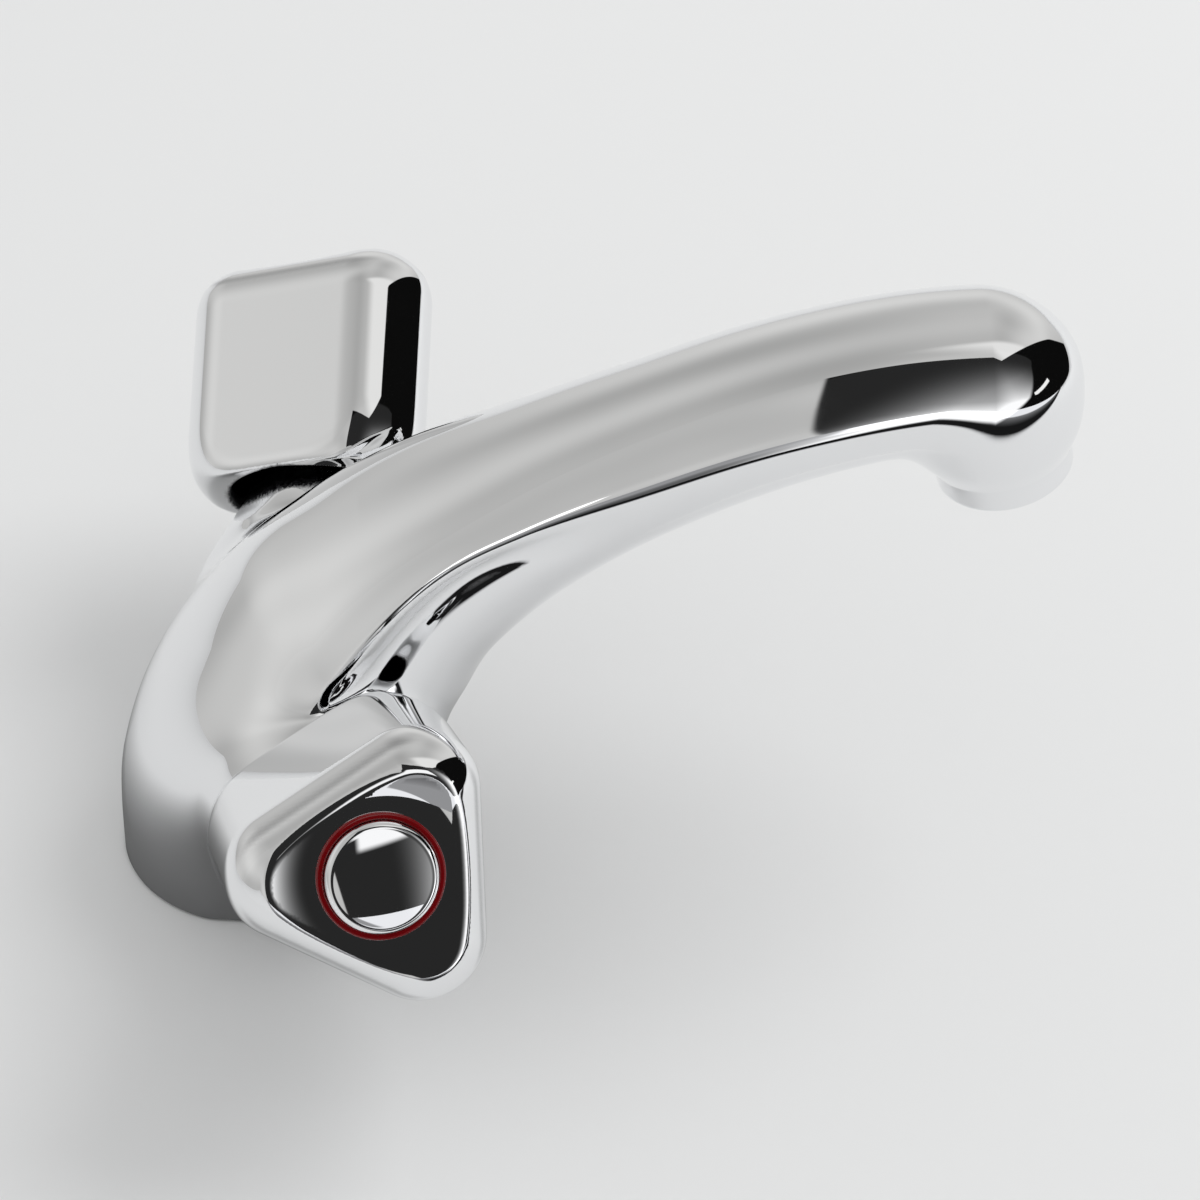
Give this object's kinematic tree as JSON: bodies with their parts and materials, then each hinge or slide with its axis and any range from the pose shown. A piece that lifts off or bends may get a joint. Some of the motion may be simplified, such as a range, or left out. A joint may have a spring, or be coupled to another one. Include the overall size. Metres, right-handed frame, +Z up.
{
  "type": "two-handle basin mixer tap",
  "caption": "Deck-mounted basin mixer tap: cast body with a fixed arched spout, and a three-lobed handle with a coloured ring on an inclined neck at each side.",
  "frame": {"origin": "middle of the foot, on the face of the deck that the tap stands on", "axes": "+Z up out of the deck, -Y along the spout, +X towards the cold handle"},
  "size_m": [0.2008, 0.1872, 0.1767],
  "materials": {
    "chrome": "polished plate on brass",
    "brass": "machined",
    "steel": "plain",
    "rubber": "moulded",
    "fibre": "pressed fibre",
    "disc": "lapped",
    "insert_plastic": "moulded",
    "red_mark": "gloss",
    "blue_mark": "gloss"
  },
  "bodies": {
    "tap": {"tap_body": "chrome", "base_seal": "rubber", "fixing_stud": "brass", "clamp_gasket": "rubber", "clamp_plate": "steel", "fixing_nut": "brass", "aerator_housing": "chrome", "aerator_screen": "steel", "aerator_insert": "insert_plastic", "aerator_seal": "rubber", "hot_seat_seal": "rubber", "hot_fixed_disc": "disc", "hot_valve_barrel": "brass", "hot_barrel_seal": "fibre", "cold_seat_seal": "rubber", "cold_fixed_disc": "disc", "cold_valve_barrel": "brass", "cold_barrel_seal": "fibre"},
    "hot_handle": {"hot_moving_disc": "disc", "hot_spindle": "brass", "hot_spindle_seals": "rubber", "hot_circlip": "steel", "hot_spline_insert": "insert_plastic", "hot_handle": "chrome", "hot_handle_screw": "steel", "hot_index_ring": "red_mark", "hot_cap": "chrome"},
    "cold_handle": {"cold_moving_disc": "disc", "cold_spindle": "brass", "cold_spindle_seals": "rubber", "cold_circlip": "steel", "cold_spline_insert": "insert_plastic", "cold_handle": "chrome", "cold_handle_screw": "steel", "cold_index_ring": "blue_mark", "cold_cap": "chrome"}
  },
  "joints": [
    {"name": "hot_handle_turn", "type": "hinge", "parent": "tap", "child": "hot_handle", "pos_m": [0, -0.0095, 0.0206], "axis": [-0.8653, -0.108, 0.4895], "range_deg": [0, 90]},
    {"name": "cold_handle_turn", "type": "hinge", "parent": "tap", "child": "cold_handle", "pos_m": [0, -0.0095, 0.0206], "axis": [0.8653, -0.108, 0.4895], "range_deg": [-90, 0]}
  ]
}
